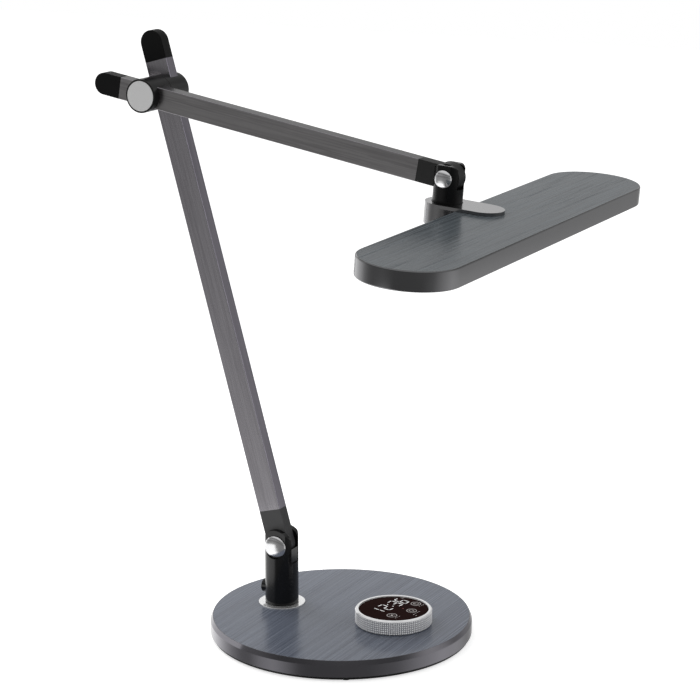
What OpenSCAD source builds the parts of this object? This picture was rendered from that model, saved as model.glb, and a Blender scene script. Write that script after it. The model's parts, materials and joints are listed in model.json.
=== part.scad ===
// Swing arm desk lamp: a weighted round base with a turning dial, a swivelling post, two flat arms
// that cross at an elbow drum, and a long flat light panel on a swivelling yoke.
// Millimetres. The origin is the middle of the base where it stands on the desk, +Z is up,
// +X points from the post to the dial and the panel, and every tilt axis runs along Y.

/* [Base] */
// Outer diameter of the base
base_d = 220; // [190:1:260]
// Height of the base's top face above the desk
base_h = 17.2; // [16.5:0.1:24]
// Height of the bevel between the base's side and its top face
base_bevel_h = 3.8; // [1.5:0.1:5]
// Width of that bevel, seen from above
base_bevel_w = 1.8; // [1:0.1:3]
// Width of the shell's lip around the top insert
base_lip_w = 0.4; // [0.3:0.1:1]
// Wall thickness of the base shell
base_wall = 4; // [3:0.5:5]
// Thickness of the shell's deck under the insert
deck_t = 3; // [2.4:0.1:4]
// Thickness of the brushed top insert
insert_t = 1.4; // [1:0.1:2]
// Thickness of the steel ballast disc
ballast_t = 7.6; // [5:0.1:8]
// Gap between the ballast disc and the screw bosses around it
ballast_gap = 2; // [1:0.5:4]
// Thickness of the bottom plate
plate_t = 2.4; // [2.2:0.1:3]
// How far the bottom plate's edge lies inside the base's side
plate_inset = 1.5; // [0.5:0.1:3]

/* [Feet and base screws] */
// Number of feet around the rim
foot_count = 6; // [3:1:8]
// Diameter of a rim foot
foot_d = 8; // [6:0.5:9]
// Distance of a rim foot's centre from the base's edge
foot_inset = 7; // [6.5:0.5:12]
// Diameter of the middle foot
mid_foot_d = 20; // [12:1:30]
// How far the feet stand below the bottom plate
foot_show = 1.2; // [0.8:0.1:1.5]
// How deep the feet are let into the bottom plate
foot_sink = 0.8; // [0.5:0.1:1]
// Diameter of a bottom screw's shank
screw_d = 3; // [2.5:0.1:3.5]
// Diameter of a bottom screw's head
screw_head_d = 5.6; // [5:0.1:6.5]
// Height of a screw's head
screw_head_h = 1.3; // [1:0.1:1.5]
// Length of a bottom screw's shank above its head
screw_l = 6.5; // [5:0.1:7]
// Diameter of a screw boss in the shell
boss_d = 9; // [7:0.5:10]

/* [Dial] */
// Distance of the dial's axis in front of the base's middle
dial_x = 49.2; // [40:0.1:60]
// Outer diameter of the knurled ring
knob_d = 64.4; // [56:0.1:70]
// Height of the dial above the base's top face
knob_h = 12.7; // [11:0.1:16]
// Gap between the ring and the base's top face
knob_lift = 0.5; // [0.3:0.1:1]
// Height of the ring's polished bevel
knob_bevel_h = 2.7; // [2:0.1:3]
// Width of the ring's polished bevel, seen from above
knob_bevel_w = 1.1; // [0.8:0.1:1.5]
// Width of the ring's flat rim around the lens
knob_rim_w = 1.9; // [1.5:0.1:2.2]
// Height of the magnet track in the ring's underside
track_h = 1.2; // [0.8:0.1:1.5]
// Width of the magnet track
track_w = 2.3; // [1.5:0.1:2.5]
// How far the display lens lies below the ring's rim
lens_drop = 0.9; // [0.5:0.1:1.2]
// Thickness of the display lens
lens_t = 1.6; // [1.2:0.1:2]
// Diameter of the fixed core on which the ring turns
core_d = 55; // [50:0.5:56]
// Thickness of the core's flange that keeps the ring down
core_flange_t = 1.4; // [1:0.1:1.8]
// Thickness of a circuit board
board_t = 1.6; // [1:0.1:2]
// Diameter of the control board under the dial
control_board_d = 32; // [24:1:34]
// Distance of the core's screws from the dial's axis
core_screw_r = 21; // [20.5:0.5:23]

/* [Post] */
// Distance of the post's axis behind the base's middle
post_back = 57.3; // [45:0.1:70]
// Diameter of the post
post_d = 28.4; // [26:0.1:32]
// Height of the lower arm's pivot above the base's top face
post_pivot_h = 52.2; // [46:0.1:70]
// Diameter of the silver collar around the post's foot
collar_d = 39.6; // [34:0.1:44]
// How far the collar stands above the base's top face
collar_rise = 0.7; // [0.4:0.1:1.2]
// Diameter of the post's spigot in the base
spigot_d = 20; // [16:0.5:21]
// Diameter of the cable way up the post
cable_way_d = 10; // [8:0.5:11]
// Outer diameter of the swivel bush
bush_d = 25; // [23:0.5:26]
// Diameter of the swivel bush's flange
bush_flange_d = 32; // [28:0.5:36]
// Distance across the corners of the swivel nut
swivel_nut_d = 31; // [28:0.5:34]
// Diameter of the bolt through the post's ears
post_bolt_d = 8; // [6:0.5:9]
// Diameter of the chrome caps on the post's ears
post_cap_d = 19.5; // [17:0.1:21]
// Height of a chrome cap
cap_h = 3.6; // [2.5:0.1:4.5]
// Distance from the arm's middle plane to the flat outside of an ear
ear_half = 10.7; // [10:0.1:11.2]
// Height of the cable cover's foot above the base's top face
cover_foot_h = 37.3; // [34:0.1:40]
// Thickness of the cable cover
cover_t = 1.6; // [1:0.1:2]
// How far the cable cover's flat face lies inside the edges of its slot
cover_sink = 0.3; // [0.2:0.1:0.8]

/* [Power inlet] */
// Height of the inlet's axis above the base's top face
inlet_h = 12.3; // [10:0.1:16]
// Outer diameter of the inlet's barrel
inlet_d = 11.4; // [9:0.1:13]
// How far the barrel stands out of the post
inlet_show = 3.2; // [2:0.1:6]
// Diameter of the inlet's bore
inlet_bore_d = 5.6; // [5.5:0.1:6.5]
// Depth of the inlet's bore
inlet_bore_l = 9; // [8:0.5:9]

/* [Lower arm] */
// Distance from the lower pivot to the elbow
lower_l = 393.4; // [300:0.1:450]
// Width of the lower arm, seen from the side
lower_w = 20.8; // [18:0.1:24]
// Thickness of the lower arm along Y
lower_t = 11.1; // [10:0.1:12]
// Lean of the lower arm backwards from upright, in degrees
lower_lean = 15.6; // [5:0.1:30]
// Tilt of the lower arm from upright at its stops, in degrees
lower_stop = 39.6; // [30:0.1:40]
// Length of the foot fitting above the pivot
adaptor_l = 30.8; // [24:0.1:40]
// Length of the lower arm's tube above the elbow
lower_over = 25.7; // [20:0.1:40]
// Length of the end cap on top of the lower arm
lower_cap_l = 25.3; // [20:0.1:32]
// Wall thickness of both arm tubes
tube_wall = 1.3; // [1:0.1:1.6]
// Corner radius of both arms
arm_round = 0.8; // [0.5:0.1:1.2]
// Length of the plugs that hold the fittings in the tubes
plug_l = 14; // [8:1:18]
// Diameter of the lighting cable
wire_d = 2.2; // [1.8:0.1:2.4]
// Gap between the lighting cable and the tube's wall
wire_inset = 0.7; // [0.6:0.1:0.8]

/* [Elbow] */
// Diameter of the elbow drum
elbow_d = 27.8; // [26.5:0.1:32]
// Distance between the middle planes of the two arms
arm_offset = 27.8; // [26:0.1:34]
// Length of the drum in front of the upper arm's middle plane
elbow_front = 13.1; // [12.5:0.1:16]
// Length of the drum behind the lower arm's middle plane
elbow_rear = 12.5; // [12:0.1:16]
// Diameter of the silver disc in the drum's front
disc_d = 24.7; // [20:0.1:25]
// Thickness of the silver disc and of the rear cover
disc_t = 1.5; // [1.2:0.1:1.8]
// Diameter of the elbow's bolt
elbow_bolt_d = 8; // [6:0.5:9]
// Distance across the corners of the elbow bolt's head and nut
elbow_nut_d = 15; // [13:0.5:17]
// Height of the elbow bolt's head and nut
elbow_nut_h = 2.6; // [2:0.1:2.8]
// Edge chamfer of the drum
elbow_edge = 0.4; // [0.2:0.1:0.7]

/* [Upper arm] */
// Distance from the elbow to the head's pivot
upper_l = 276.2; // [220:0.1:330]
// Width of the upper arm, seen from the side
upper_w = 18.2; // [17:0.1:20]
// Thickness of the upper arm along Y
upper_t = 11.9; // [11:0.1:12.5]
// Slope of the upper arm down from level, in degrees
upper_droop = 9.65; // [0:0.05:30]
// Length of the upper arm's tube behind the elbow
upper_over = 24.7; // [20:0.1:40]
// Length of the end cap behind the elbow
upper_cap_l = 24.7; // [20:0.1:32]
// Length of the tip fitting behind the head's pivot
tip_l = 25.5; // [20:0.1:34]
// Diameter of the tip's round end in the yoke
nose_d = 22.4; // [19:0.1:23]

/* [Yoke] */
// Diameter of the yoke's body
yoke_d = 23.8; // [22.8:0.1:26]
// Height of the yoke's ears above the head's pivot
yoke_top = 10.4; // [10:0.1:12]
// Corner radius of the yoke's ears
yoke_round = 8; // [6:0.1:10]
// Depth of the bracket's top face below the head's pivot
yoke_drop = 19.3; // [16.5:0.1:26]
// Depth of the notch in the yoke's front below the head's pivot
yoke_notch = 8; // [6:0.1:9]
// How far the tip may swing down behind the yoke, in degrees below the panel's plane
tip_dip = 24; // [10:1:26]
// Diameter of the head's bolt
head_bolt_d = 6; // [4:0.5:7]
// Diameter of the chrome caps on the yoke's ears
head_cap_d = 14.3; // [13:0.1:16]
// Diameter of the yoke's spigot in the bracket
head_spigot_d = 14; // [12:0.5:15]
// Distance across the corners of the head nut
head_nut_d = 22; // [20:0.5:24]

/* [Bracket] */
// Diameter of the bracket's drum
drum_d = 34.6; // [32:0.1:38]
// Thickness of the drum's wall
drum_wall = 3.6; // [3:0.1:4]
// Thickness of the drum's top under the yoke
drum_top_t = 5.4; // [4:0.1:6]
// Height of the drum
drum_h = 17; // [15:0.1:17.5]
// Reach of the bracket's tongue in front of the yoke's axis
tongue_reach = 47.5; // [40:0.1:56]
// Width of the tongue at its round end
tongue_w = 32.6; // [26:0.1:34]
// Thickness of the tongue on the panel
tongue_t = 2.7; // [2:0.1:3.5]

/* [Light panel] */
// Length of the panel along Y
panel_l = 418.8; // [340:0.1:480]
// Width of the panel
panel_w = 78.4; // [68:0.1:90]
// Thickness of the panel
panel_t = 15.1; // [14.6:0.1:20]
// Distance of the panel's middle in front of the yoke's axis
panel_reach = 52.9; // [48:0.1:60]
// Tilt of the panel's front edge down from level, in degrees
panel_tilt = 4.6; // [0:0.1:20]
// Edge radius of the panel's rim
panel_round = 1.2; // [0.8:0.1:1.8]
// Width of the rim around the top skin
panel_lip_w = 1.2; // [0.8:0.1:2]
// Thickness of the brushed top skin
skin_t = 0.8; // [0.6:0.1:1.2]
// Thickness of the panel's deck and walls
panel_wall = 2; // [1.6:0.1:2.4]
// Thickness of the bottom bezel
bezel_t = 1.6; // [1.2:0.1:2]
// Width of the bottom bezel
bezel_w = 6; // [4:0.5:9]
// Thickness of the diffuser above the bezel
diffuser_t = 1.8; // [1.5:0.1:2.2]
// Thickness of the light guide
guide_t = 3; // [2.5:0.1:3.5]
// Thickness of the reflector sheet
reflector_t = 0.5; // [0.3:0.1:0.8]
// Height of the light strips
strip_h = 4.6; // [3.5:0.1:5]
// Length of the light strips
strip_l = 320; // [240:1:330]
// Length of the driver board
driver_l = 90; // [60:1:100]
// Width of the driver board
driver_w = 30; // [20:1:34]

/* [Clearances] */
// Radial play of a shaft or turning piece in its bore
run_gap = 0.05; // [0.02:0.01:0.1]
// Gap between a piece and the fixed piece it sits in
seat_gap = 0.05; // [0.02:0.01:0.1]
// Gap between pieces that move past each other
move_gap = 0.4; // [0.3:0.05:0.5]
// Gap between a friction washer and the face it rubs on
rub_gap = 0.1; // [0.05:0.01:0.15]
// Thickness of a friction washer
washer_t = 1; // [0.8:0.1:1.2]
// Width of a friction washer outside its bolt
washer_w = 4; // [3:0.1:4.5]

/* [Hidden] */
$fn = 96;
cut = 1;                 // how far a cutting shape runs past the face it opens
spring_t = 0.7;          // thickness of a disc spring under a nut
nut_h = 3.3;             // height of the two swivel nuts
nut_clear = 0.05;        // gap between a nut and its disc spring
core_round = 0.5;        // corner radius of the inside of an arm tube
wire_play = 0.3;         // how much wider than the cable its hole in a fitting is
board_screw_r = 1;       // radius of a circuit board's screw
core_way_r = 6;          // radius of the cable hole under the dial
core_lip = 1.5;          // wall of the dial's core around the display board
boss_clear = 1;          // gap between a screw boss and the shell's side wall
core_screw_l = 4.5;      // how far a core screw reaches into the core
swivel_play = 6;         // room around the swivel nut in the ballast
knob_edge = 0.6;         // chamfer of the knurled ring's foot
rim_edge = 0.3;          // chamfer of the ring's flat rim
track_inset = 1.2;       // wall of the ring outside the magnet track
cover_gap = 0.3;         // gap above the cable cover
split_edge = 0.1;        // chamfer of the drum at its split
disc_show = 0.1;         // how far the silver disc stands out of the drum
yoke_sink = 1;           // how deep the yoke stands in the bracket's top
head_way_r = 2.5;        // radius of the cable way through the yoke
screw_end = 1;           // what is left of a screw's hole beyond the screw, or of the tongue above it
strip_t = 1.2;           // thickness of a light strip
rib_r = 2;               // radius of a rib inside the panel
driver_clear = 2.2;      // room above the driver board

// Heights in the base, from the desk up
plate_top = foot_show + plate_t;
side_top = base_h - base_bevel_h;
insert_z = base_h - insert_t;
deck_z = insert_z - deck_t;
collar_top = base_h + collar_rise;
post_foot = collar_top + washer_t / 2 + rub_gap;
pivot_z = base_h + post_pivot_h;

// Radii in the base
base_r = base_d / 2;
insert_r = base_r - base_bevel_w - base_lip_w;
boss_r = boss_d / 2;
screw_ring_r = base_r - base_wall - boss_r - boss_clear;
ballast_r = screw_ring_r - boss_r - ballast_gap;
foot_ring_r = base_r - foot_inset;
swivel_room_r = max(bush_flange_d, swivel_nut_d) / 2 + swivel_play;

// Dial
knob_r = knob_d / 2;
knob_top = base_h + knob_h;
knob_foot = base_h + knob_lift;
lens_r = knob_r - knob_bevel_w - knob_rim_w - move_gap;
lens_z = knob_top - lens_drop - lens_t;
flange_z = lens_z - core_flange_t;
display_pocket = board_t + 0.8;
standoff_l = 2.4;
standoff_ring_r = control_board_d / 2 - 3.5;
standoff_r = 2.6;
display_r = core_d / 2 - core_lip;

// Blocks on the circuit boards
chip_w = control_board_d * 0.28;
chip_l = driver_l * 0.16;
chip_h = board_t * 1.15;
board_overlap = 0.1;

// Post and lower arm
post_r = post_d / 2;
post_x = -post_back;
spigot_r = spigot_d / 2;
bush_foot = deck_z - 3;
spring_top = bush_foot - rub_gap;
nut_top = spring_top - spring_t - nut_clear;
spigot_foot = nut_top - nut_h - 1;
slot_half = lower_t / 2 + move_gap;
cover_front = sqrt(pow(post_r, 2) - pow(slot_half, 2)) - cover_sink;
cover_back = cover_front - cover_t;
tongue_r = lower_w / 2;
slot_r = tongue_r + move_gap + rub_gap;
lower_wire_x = lower_w / 2 - tube_wall - wire_inset - wire_d / 2;
upper_wire_x = upper_w / 2 - tube_wall - wire_inset - wire_d / 2;
elbow_x = post_x - lower_l * sin(lower_lean);
elbow_z = pivot_z + lower_l * cos(lower_lean);

// Elbow: the drum is split halfway between the two arms
split_y = -arm_offset / 2;
front_y = -arm_offset - elbow_front;
rear_face = split_y + move_gap / 2;
front_face = split_y - move_gap / 2;
elbow_washer_r = elbow_bolt_d / 2 + washer_w + 2;
disc_seat = front_y + disc_t;
nut_seat = disc_seat + move_gap + elbow_nut_h;
head_seat = elbow_rear - disc_t - move_gap - elbow_nut_h;

// Head
head_x = elbow_x + upper_l * cos(upper_droop);
head_z = elbow_z - upper_l * sin(upper_droop);
nose_r = nose_d / 2;
yoke_r = yoke_d / 2;
yoke_slot_half = upper_t / 2 + move_gap;
yoke_slot_r = nose_r + move_gap + rub_gap;
yoke_swing_half = upper_w / 2 + move_gap + rub_gap;
yoke_foot = -yoke_drop - yoke_sink;
drum_r = drum_d / 2;
drum_floor = -yoke_drop - drum_h;
drum_room_r = drum_r - drum_wall;
drum_deck = -yoke_drop - drum_top_t;
head_spring_top = drum_deck - rub_gap;
head_nut_top = head_spring_top - spring_t - nut_clear;
head_spigot_foot = head_nut_top - nut_h - 0.6;
panel_top = -yoke_drop - tongue_t;
panel_floor = panel_top - panel_t;
panel_deck = panel_top - skin_t - panel_wall;
stack_w = panel_w - 2 * panel_wall;
diffuser_z = panel_floor + bezel_t;
guide_z = diffuser_z + diffuser_t + seat_gap;
reflector_z = guide_z + guide_t + seat_gap;
guide_w = stack_w - 2 * strip_t - 4 * move_gap;
bracket_screw_x = [26, 38];
driver_y = 80;
driver_z = panel_deck - driver_clear - board_t;

// ---- shared shapes ----

// A cylinder along Y from y0 to y1
module y_cylinder(r, y0, y1) translate([0, y0, 0]) rotate([-90, 0, 0]) cylinder(r = r, h = y1 - y0);

// A drawing in the XZ plane, made solid from y0 to y1
module y_slab(y0, y1) translate([0, y1, 0]) rotate([90, 0, 0]) linear_extrude(y1 - y0) children();

// A flat ring or disc along Z
module ring(outer_r, inner_r, h) difference() {
    cylinder(r = outer_r, h = h);
    translate([0, 0, -cut]) cylinder(r = inner_r, h = h + 2 * cut);
}

// A hexagon nut along Z with a bore
module hex_nut(corner_d, bore_r, h) difference() {
    cylinder(d = corner_d, h = h, $fn = 6);
    translate([0, 0, -cut]) cylinder(r = bore_r, h = h + 2 * cut);
}

// A rectangle of w along X and t along Y with rounded corners
module round_rect(w, t, r) {
    square([w - 2 * r, t], center = true);
    square([w, t - 2 * r], center = true);
    for (x = [-1, 1], y = [-1, 1]) translate([x * (w / 2 - r), y * (t / 2 - r)]) circle(r);
}

// A solid disc of radius outer_r and thickness t about Z, with its rims rounded by r
module round_disc(outer_r, t, r) rotate_extrude() {
    translate([0, -t / 2]) square([outer_r - r, t]);
    translate([0, r - t / 2]) square([outer_r, t - 2 * r]);
    for (s = [-1, 1]) translate([outer_r - r, s * (t / 2 - r)]) circle(r);
}

// A flat arm of width w and thickness t along +Z from z0 to z1
module bar(w, t, z0, z1, r = arm_round) translate([0, 0, z0]) linear_extrude(z1 - z0) round_rect(w, t, r);

// The half-round end of a flat arm, centred on Y at the frame's middle
module bar_end(w, t) rotate([90, 0, 0]) round_disc(w / 2, t, arm_round);

// The inside of an arm tube, smaller by gap all round
module tube_core(w, t, z0, z1, gap) {
    less = 2 * (tube_wall + gap);
    bar(w - less, t - less, z0, z1, core_round);
}

// A plate whose outline is a long slot: length l along Y, width w, from z0 to z1
module pill(l, w, z0, z1) {
    translate([-w / 2, (w - l) / 2, z0]) cube([w, l - w, z1 - z0]);
    for (s = [-1, 1]) translate([0, s * (l - w) / 2, z0]) cylinder(r = w / 2, h = z1 - z0);
}

// The same outline with rounded rims
module round_pill(l, w, z0, z1, r) translate([0, 0, (z0 + z1) / 2]) {
    rotate([90, 0, 0]) linear_extrude(l - w, center = true) round_rect(w, z1 - z0, r);
    for (s = [-1, 1]) translate([0, s * (l - w) / 2, 0]) round_disc(w / 2, z1 - z0, r);
}

// A low chrome dome of diameter d, its flat side at the middle and its crown towards +Z
module dome(d, h) {
    rim = 0.8;
    crown = h - rim;
    ball_r = (d * d / 4 + crown * crown) / (2 * crown);
    cylinder(d = d, h = rim);
    intersection() {
        translate([0, 0, h - ball_r]) sphere(ball_r);
        cylinder(d = d, h = h + cut);
    }
}

// Two domes outside a pair of ears
module dome_pair(d) for (s = [-1, 1]) translate([0, s * (ear_half + seat_gap), 0]) rotate([-s * 90, 0, 0])
    dome(d, cap_h);

// Two friction washers beside a tongue of thickness t
module washer_pair(t, bolt_r) for (s = [-1, 1])
    translate([0, s * (t / 2 + rub_gap), 0]) rotate([-s * 90, 0, 0])
        ring(bolt_r + washer_w, bolt_r + seat_gap, washer_t);

// What the ears lose for the bolt, the two washers and the caps' spot faces
module ear_cuts(t, bolt_r, cap_r) {
    y_cylinder(bolt_r + seat_gap, -ear_half - cut, ear_half + cut);
    pocket = t / 2 + rub_gap + washer_t + seat_gap;
    y_cylinder(bolt_r + washer_w + seat_gap, -pocket, pocket);
    for (s = [-1, 1]) rotate([0, 0, s > 0 ? 0 : 180]) {
        y_cylinder(cap_r + seat_gap, ear_half, 2 * ear_half);
        translate([-2 * ear_half, ear_half, 0]) cube([4 * ear_half, ear_half, 3 * ear_half]);
    }
}

// A pan head screw along +Z, the underside of its head at the middle
module screw(l, d = screw_d, head_d = screw_head_d, head_h = screw_head_h) {
    translate([0, 0, -head_h]) cylinder(d = head_d, h = head_h);
    cylinder(d = d, h = l);
}

// ---- frames of the moving pieces ----

module at_post() translate([post_x, 0, 0]) children();
module at_dial() translate([dial_x, 0, 0]) children();
// +Z runs up the lower arm, the lower pivot is the middle
module at_lower_arm() translate([post_x, 0, pivot_z]) rotate([0, -lower_lean, 0]) children();
// the elbow, turned as the lower arm
module at_elbow() translate([elbow_x, 0, elbow_z]) rotate([0, -lower_lean, 0]) children();
// +X runs down the upper arm, the elbow is the middle
module at_upper_arm() translate([elbow_x, -arm_offset, elbow_z]) rotate([0, upper_droop, 0]) children();
// the same with +Z along the arm towards the head
module along_upper_arm() at_upper_arm() rotate([0, 90, 0]) children();
// +X runs towards the panel's front edge, the head's pivot is the middle
module at_head() translate([head_x, -arm_offset, head_z]) rotate([0, panel_tilt, 0]) children();
// the middle of the panel
module at_panel() at_head() translate([panel_reach, 0, 0]) children();

// ---- base ----

module base_screw_places() for (i = [0:foot_count - 1]) rotate([0, 0, (i + 0.5) * 360 / foot_count])
    translate([screw_ring_r, 0, 0]) children();

module foot_places() for (i = [0:foot_count - 1]) rotate([0, 0, i * 360 / foot_count])
    translate([foot_ring_r, 0, 0]) children();

module core_screw_places() at_dial() for (i = [0:2]) rotate([0, 0, i * 120]) translate([core_screw_r, 0, 0])
    children();

module board_screw_places() at_dial() for (i = [0:2]) rotate([0, 0, 60 + i * 120])
    translate([standoff_ring_r, 0, 0]) children();

module base_shell() color("dimgray") difference() {
    union() {
        difference() {
            union() {
                translate([0, 0, plate_top]) cylinder(r = base_r, h = side_top - plate_top);
                translate([0, 0, side_top])
                    cylinder(r1 = base_r, r2 = base_r - base_bevel_w, h = base_bevel_h);
            }
            translate([0, 0, plate_top - cut])
                cylinder(r = base_r - base_wall, h = deck_z - plate_top + cut);
            translate([0, 0, insert_z]) cylinder(r = insert_r + seat_gap, h = insert_t + cut);
        }
        base_screw_places() translate([0, 0, plate_top]) cylinder(r = boss_r, h = deck_z - plate_top + cut);
        board_screw_places() translate([0, 0, deck_z - standoff_l])
            cylinder(r = standoff_r, h = standoff_l + cut);
    }
    base_screw_places() translate([0, 0, plate_top - cut])
        cylinder(d = screw_d + 2 * seat_gap, h = screw_l + cut);
    board_screw_places() translate([0, 0, deck_z - standoff_l - cut])
        cylinder(r = board_screw_r + seat_gap, h = standoff_l + cut);
    core_screw_places() translate([0, 0, deck_z - cut])
        cylinder(d = screw_d + 2 * seat_gap, h = deck_t + 2 * cut);
    at_post() translate([0, 0, deck_z - cut]) cylinder(r = bush_d / 2 + seat_gap, h = deck_t + 2 * cut);
    at_dial() translate([0, 0, deck_z - cut]) cylinder(r = core_way_r, h = deck_t + 2 * cut);
}

module base_insert() color("slategray") difference() {
    translate([0, 0, insert_z]) cylinder(r = insert_r, h = insert_t);
    at_post() translate([0, 0, insert_z - cut])
        cylinder(r = collar_d / 2 + seat_gap, h = insert_t + 2 * cut);
    at_dial() translate([0, 0, insert_z - cut]) cylinder(r = core_d / 2 + seat_gap, h = insert_t + 2 * cut);
}

module base_ballast() color("gray") difference() {
    translate([0, 0, plate_top + seat_gap]) cylinder(r = ballast_r, h = ballast_t);
    at_post() translate([0, 0, plate_top]) cylinder(r = swivel_room_r, h = ballast_t + cut);
    at_dial() translate([0, 0, plate_top]) cylinder(r = core_screw_r + 5, h = ballast_t + cut);
}

module bottom_plate() color("black") difference() {
    translate([0, 0, foot_show]) cylinder(r = base_r - plate_inset, h = plate_t);
    foot_places() cylinder(d = foot_d + 2 * seat_gap, h = foot_show + foot_sink + seat_gap);
    cylinder(d = mid_foot_d + 2 * seat_gap, h = foot_show + foot_sink + seat_gap);
    base_screw_places() {
        cylinder(d = screw_head_d + 2 * seat_gap, h = foot_show + screw_head_h);
        cylinder(d = screw_d + 2 * seat_gap, h = plate_top + cut);
    }
}

module base_feet() color("black") {
    foot_places() cylinder(d = foot_d, h = foot_show + foot_sink);
    cylinder(d = mid_foot_d, h = foot_show + foot_sink);
}

module base_screws() color("silver") base_screw_places()
    translate([0, 0, foot_show + screw_head_h - seat_gap])
        screw(screw_l + plate_t - screw_head_h - screw_end);

module collar_ring() color("silver") at_post() translate([0, 0, insert_z])
    ring(collar_d / 2, spigot_r + move_gap, collar_top - insert_z);

module swivel_bush() color("ivory") at_post() translate([0, 0, bush_foot]) difference() {
    union() {
        cylinder(d = bush_d, h = insert_z - bush_foot);
        cylinder(d = bush_flange_d, h = deck_z - bush_foot);
    }
    translate([0, 0, -cut]) cylinder(r = spigot_r + run_gap, h = insert_z - bush_foot + 2 * cut);
}

module foot_washer() color("black") at_post() translate([0, 0, collar_top])
    ring(post_r - arm_round, spigot_r + move_gap, washer_t / 2);

module dial_core() color("dimgray") difference() {
    at_dial() {
        translate([0, 0, insert_z]) cylinder(d = core_d, h = lens_z - insert_z);
        translate([0, 0, flange_z]) cylinder(r = lens_r, h = core_flange_t);
    }
    at_dial() translate([0, 0, lens_z - display_pocket]) cylinder(r = display_r, h = display_pocket + cut);
    at_dial() translate([0, 0, insert_z - cut]) cylinder(r = core_way_r, h = lens_z);
    core_screw_places() translate([0, 0, insert_z - cut])
        cylinder(d = screw_d + 2 * seat_gap, h = core_screw_l + 0.5 + cut);
}

module core_screws() color("silver") core_screw_places() translate([0, 0, deck_z - seat_gap])
    screw(deck_t + core_screw_l);

module display_board() color("darkgreen") at_dial() translate([0, 0, lens_z - display_pocket + seat_gap]) {
    cylinder(r = display_r - 2 * rub_gap, h = board_t);
    translate([-display_r / 2, -display_r / 2, board_t]) cube([display_r * 0.4, display_r, chip_h / 3]);
}

module display_lens() color("black") at_dial() translate([0, 0, lens_z]) cylinder(r = lens_r, h = lens_t);

module control_board() color("darkgreen") at_dial()
    translate([0, 0, deck_z - standoff_l - board_t - seat_gap]) difference() {
        union() {
            cylinder(d = control_board_d, h = board_t);
            translate([-chip_w, -chip_w / 2, -chip_h + board_overlap])
                cube([chip_w, chip_w, chip_h]);
            translate([chip_w / 2, -chip_w / 2, -chip_h + board_overlap])
                cube([chip_w / 2, chip_w, chip_h]);
        }
        for (i = [0:2]) rotate([0, 0, 60 + i * 120]) translate([standoff_ring_r, 0, -cut])
            cylinder(r = board_screw_r + seat_gap, h = board_t + 2 * cut);
    }

module board_screws() color("silver") board_screw_places()
    translate([0, 0, deck_z - standoff_l - board_t - 2 * seat_gap])
        screw(board_t + 1.6, 2 * board_screw_r, 3.8, 1);

module knob_ring() color("silver") at_dial() {
    bore_r = core_d / 2 + run_gap;
    shoulder_z = flange_z - move_gap;
    rim_r = knob_r - knob_bevel_w;
    difference() {
        rotate_extrude() polygon([
            [bore_r, knob_foot], [knob_r - knob_edge, knob_foot], [knob_r, knob_foot + knob_edge],
            [knob_r, knob_top - knob_bevel_h], [rim_r + rim_edge, knob_top - rim_edge], [rim_r, knob_top],
            [lens_r + move_gap + rim_edge, knob_top], [lens_r + move_gap, knob_top - rim_edge],
            [lens_r + move_gap, shoulder_z], [bore_r, shoulder_z]
        ]);
        translate([0, 0, knob_foot - cut])
            ring(knob_r - track_inset, knob_r - track_inset - track_w, track_h + cut);
    }
}

module encoder_track() color("dimgray") at_dial() translate([0, 0, knob_foot + seat_gap])
    ring(knob_r - track_inset - seat_gap, knob_r - track_inset - track_w + seat_gap, track_h - 2 * seat_gap);

// ---- post ----

// The upright outline of the post, round over its ears, in the frame of the lower pivot
module post_outline() {
    circle(post_r);
    translate([-post_r, post_foot - pivot_z]) square([2 * post_r, pivot_z - post_foot]);
}

// The slot between the ears: the arm's round foot, and the arm at its two stops
module post_slot() translate([0, 0, pivot_z]) y_slab(-slot_half, slot_half) {
    circle(slot_r);
    translate([-2 * post_r, 0]) square([4 * post_r, 2 * post_r]);
    for (s = [-1, 1]) rotate(s * lower_stop) translate([-slot_r, 0]) square([2 * slot_r, 2 * post_r]);
}

module post() color("black") at_post() difference() {
    union() {
        intersection() {
            translate([0, 0, post_foot]) cylinder(r = post_r, h = pivot_z + post_r - post_foot + cut);
            translate([0, 0, pivot_z]) y_slab(-post_r - cut, post_r + cut) post_outline();
        }
        translate([0, 0, spigot_foot]) cylinder(r = spigot_r, h = post_foot - spigot_foot + cut);
    }
    post_slot();
    translate([0, 0, pivot_z]) ear_cuts(lower_t, post_bolt_d / 2, post_cap_d / 2);
    translate([0, 0, spigot_foot - cut])
        cylinder(d = cable_way_d, h = pivot_z - slot_r - spigot_foot + 2 * cut);
    translate([0, 0, base_h + inlet_h]) rotate([0, -90, 0])
        cylinder(d = inlet_d + 2 * seat_gap, h = 2 * post_r);
    translate([cover_back, -slot_half, base_h + cover_foot_h])
        cube([post_r, 2 * slot_half, pivot_z - base_h - cover_foot_h + cut]);
}

module cable_cover() color("black") at_post() difference() {
    translate([cover_back + seat_gap, seat_gap - slot_half, base_h + cover_foot_h + seat_gap])
        cube([cover_t - seat_gap, 2 * (slot_half - seat_gap), post_pivot_h - cover_foot_h - seat_gap - cover_gap]);
    translate([0, -cut, 0]) post_slot();
    translate([0, cut, 0]) post_slot();
}

module dc_inlet() color("black") at_post()
    translate([-post_r - inlet_show, 0, base_h + inlet_h]) rotate([0, 90, 0]) difference() {
        depth = post_r + inlet_show - cable_way_d / 2 - 1;
        cylinder(d = inlet_d, h = depth);
        translate([0, 0, -cut]) cylinder(d = inlet_bore_d, h = inlet_bore_l + cut);
    }

module post_bolt() color("gray") at_post() translate([0, 0, pivot_z])
    y_cylinder(post_bolt_d / 2, -ear_half, ear_half);

module post_caps() color("white") at_post() translate([0, 0, pivot_z]) dome_pair(post_cap_d);

module post_washers() color("ivory") at_post() translate([0, 0, pivot_z])
    washer_pair(lower_t, post_bolt_d / 2);

module swivel_spring() color("gray") at_post() translate([0, 0, spring_top - spring_t])
    ring(bush_flange_d / 2 - 1, spigot_r + seat_gap, spring_t);

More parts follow.
